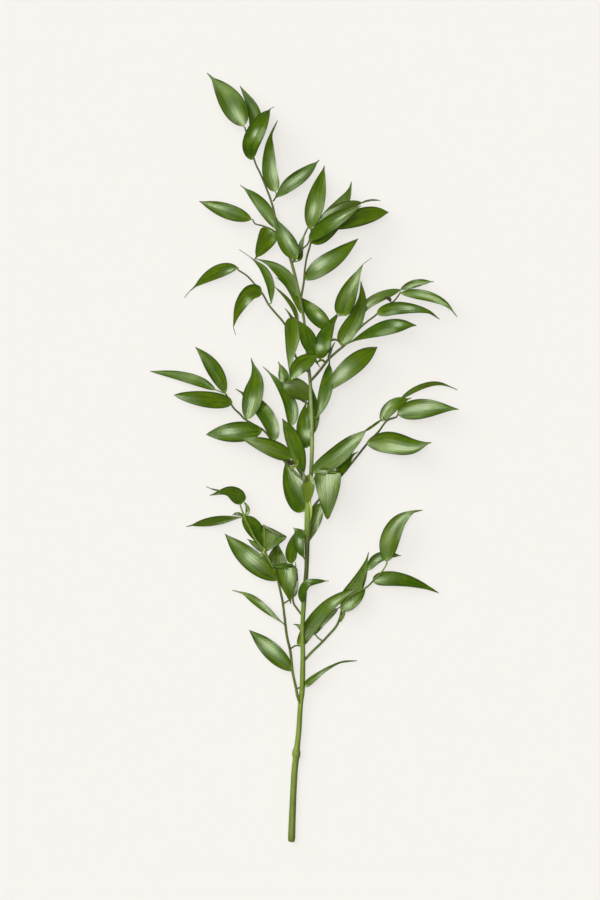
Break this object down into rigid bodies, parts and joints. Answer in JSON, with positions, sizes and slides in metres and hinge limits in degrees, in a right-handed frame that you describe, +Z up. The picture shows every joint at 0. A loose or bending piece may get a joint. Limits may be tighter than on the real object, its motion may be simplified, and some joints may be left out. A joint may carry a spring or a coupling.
{
  "type": "ruscus stem",
  "caption": "Long slender cut stem with alternating leafy side sprays of pointed waxy green leaves, lying on its side.",
  "frame": {"origin": "on the surface the stem lies on, under the middle of the stem's overall box", "axes": "+Y from the cut end towards the crown, +X to the right seen from above, +Z up from the surface"},
  "size_m": [0.263, 0.6543, 0.0425],
  "materials": {
    "stem": "satin green bark with fine ridges along it",
    "leaf": "waxy, with fine veins along the blade and browned tips"
  },
  "bodies": {
    "root": {"main_stem": "stem", "crown_tip_twig": "leaf", "crown_left_twig": "leaf", "crown_right_twig": "leaf", "upper_right_twig": "leaf", "upper_left_spray": "leaf", "centre_left_twig": "leaf", "mid_left_spray": "leaf", "upper_right_spray": "leaf", "mid_right_spray": "leaf", "lower_left_spray": "leaf", "lower_right_spray": "leaf"}
  },
  "joints": []
}
